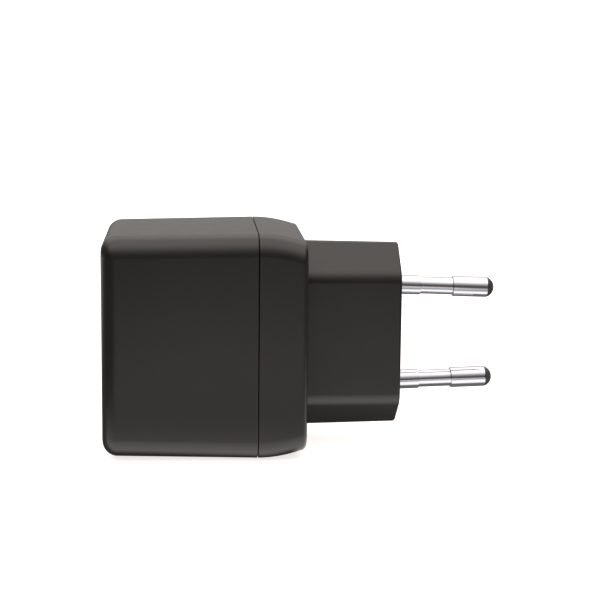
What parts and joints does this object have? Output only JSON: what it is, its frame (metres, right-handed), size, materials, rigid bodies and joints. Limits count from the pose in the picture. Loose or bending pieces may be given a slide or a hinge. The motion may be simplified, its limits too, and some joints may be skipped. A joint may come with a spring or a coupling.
{
  "type": "usb wall charger",
  "caption": "Dark wall charger: rounded box housing with USB-A ports in one end and a flat two-pin European mains plug on the other.",
  "frame": {"origin": "centre of the plug's engagement face, midway between the pins", "axes": "+X out of that face along the pins, +Z from the lower pin to the upper pin, +Y across the thickness away from the viewer"},
  "size_m": [0.0759, 0.0326, 0.0427],
  "materials": {
    "housing_plastic": "fine moulded texture, dark warm grey",
    "plug_plastic": "fine moulded texture, dark warm grey",
    "pin_metal": "polished nickel plate",
    "nose_plastic": "dark insulating plastic",
    "spring_metal": "bare spring bronze",
    "contact_metal": "gold-flashed spring bronze",
    "shell_steel": "plated sheet steel",
    "tongue_plastic": "black moulded insulator",
    "board": "green solder mask",
    "ferrite": "sintered ferrite",
    "bobbin_plastic": "black bobbin plastic",
    "tape": "yellow polyester tape",
    "bulk_can": "dark sleeve",
    "output_can": "green sleeve",
    "chip": "moulded chip package",
    "fuse_body": "lacquered ceramic",
    "choke_body": "copper winding on a drum core",
    "safety_body": "blue lacquered ceramic disc",
    "film": "thin insulating film",
    "label": "blank label film"
  },
  "bodies": {
    "housing": {"front_shell": "housing_plastic", "rear_cover": "plug_plastic", "pin_live": "pin_metal", "pin_neutral": "pin_metal", "pin_live_nose": "nose_plastic", "pin_neutral_nose": "nose_plastic", "mains_contact_live": "spring_metal", "mains_contact_neutral": "spring_metal", "usb_shell_upper": "shell_steel", "usb_shell_lower": "shell_steel", "usb_tongue_upper": "tongue_plastic", "usb_tongue_lower": "tongue_plastic", "main_board": "board", "usb_board": "board", "bulk_capacitor_a": "bulk_can", "bulk_capacitor_b": "bulk_can", "output_capacitor_a": "output_can", "output_capacitor_b": "output_can", "transformer_bobbin": "bobbin_plastic", "transformer_winding": "tape", "transformer_core_near": "ferrite", "transformer_core_far": "ferrite", "bridge_rectifier": "chip", "fuse_resistor": "fuse_body", "filter_choke": "choke_body", "safety_capacitor": "safety_body", "controller_chip": "chip", "rectifier_chip": "chip", "insulation_film": "film", "rating_label": "label"},
    "usb_springs_upper": {"usb_contact_upper_1": "contact_metal", "usb_contact_upper_2": "contact_metal", "usb_contact_upper_3": "contact_metal", "usb_contact_upper_4": "contact_metal"},
    "usb_springs_lower": {"usb_contact_lower_1": "contact_metal", "usb_contact_lower_2": "contact_metal", "usb_contact_lower_3": "contact_metal", "usb_contact_lower_4": "contact_metal"}
  },
  "joints": [
    {"name": "usb_springs_upper_flex", "type": "hinge", "parent": "housing", "child": "usb_springs_upper", "pos_m": [-0.0456, 0, 0.0074], "axis": [0, 1, 0], "range_deg": [0, 3.5], "stiffness_Nm_per_rad": 0.09},
    {"name": "usb_springs_lower_flex", "type": "hinge", "parent": "housing", "child": "usb_springs_lower", "pos_m": [-0.0456, 0, -0.0066], "axis": [0, 1, 0], "range_deg": [0, 3.5], "stiffness_Nm_per_rad": 0.09}
  ]
}
